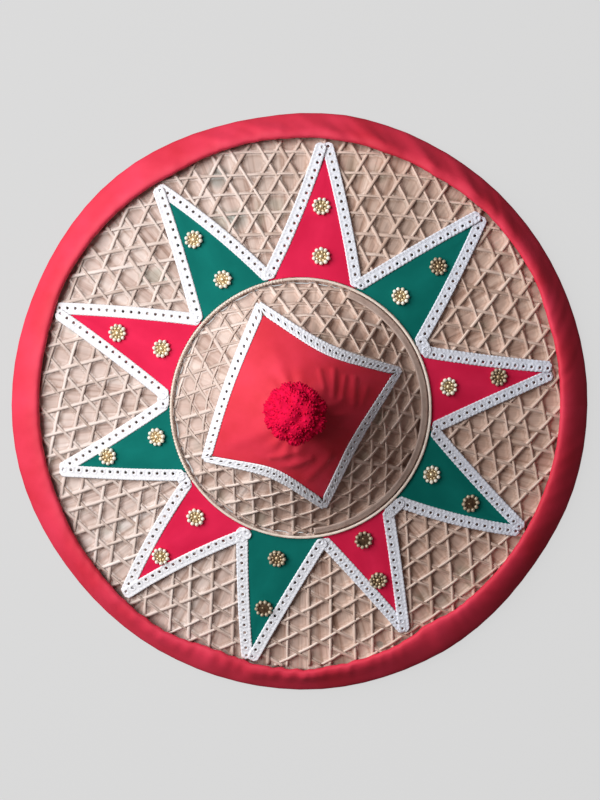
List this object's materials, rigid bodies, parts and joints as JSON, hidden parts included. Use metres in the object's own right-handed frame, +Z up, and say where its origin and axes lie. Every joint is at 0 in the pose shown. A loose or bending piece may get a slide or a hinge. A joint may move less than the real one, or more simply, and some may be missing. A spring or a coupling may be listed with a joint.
{
  "type": "woven sun hat",
  "caption": "Wide conical sun hat of plaited bamboo and palm leaf with a cloth star, lace edging, beaded flowers, a cloth patch over the crown and a yarn pompom.",
  "frame": {"origin": "on the surface it rests on, under the centre of the hat's box in plan", "axes": "+Z up through the tip of the crown, +Y towards the top of the picture, +X towards its right side"},
  "size_m": [0.4586, 0.4602, 0.1572],
  "materials": {
    "bamboo": "split bamboo strips over dried palm leaf, dull",
    "cane": "split cane, slightly polished by handling",
    "red_cloth": "plain woven cotton",
    "green_cloth": "plain woven cotton",
    "lace": "white eyelet lace",
    "gold": "thin stamped metal with pearly beads",
    "yarn": "loose wool yarn"
  },
  "bodies": {
    "root": {"brim": "bamboo", "crown": "bamboo", "crown_ring": "cane", "rim_binding": "red_cloth", "star_red_01": "red_cloth", "star_green_02": "green_cloth", "star_red_03": "red_cloth", "star_green_04": "green_cloth", "star_red_05": "red_cloth", "star_green_06": "green_cloth", "star_red_07": "red_cloth", "star_green_08": "green_cloth", "star_red_09": "red_cloth", "star_green_10": "green_cloth", "star_lace_01": "lace", "star_lace_02": "lace", "star_lace_03": "lace", "star_lace_04": "lace", "star_lace_05": "lace", "star_lace_06": "lace", "star_lace_07": "lace", "star_lace_08": "lace", "star_lace_09": "lace", "star_lace_10": "lace", "flower_inner_01": "gold", "flower_inner_02": "gold", "flower_inner_03": "gold", "flower_inner_04": "gold", "flower_inner_05": "gold", "flower_inner_06": "gold", "flower_inner_07": "gold", "flower_inner_08": "gold", "flower_inner_09": "gold", "flower_inner_10": "gold", "flower_outer_01": "gold", "flower_outer_02": "gold", "flower_outer_03": "gold", "flower_outer_04": "gold", "flower_outer_05": "gold", "flower_outer_06": "gold", "flower_outer_07": "gold", "flower_outer_08": "gold", "flower_outer_09": "gold", "flower_outer_10": "gold", "crown_patch": "red_cloth", "patch_lace": "lace", "pompom": "yarn"}
  },
  "joints": []
}
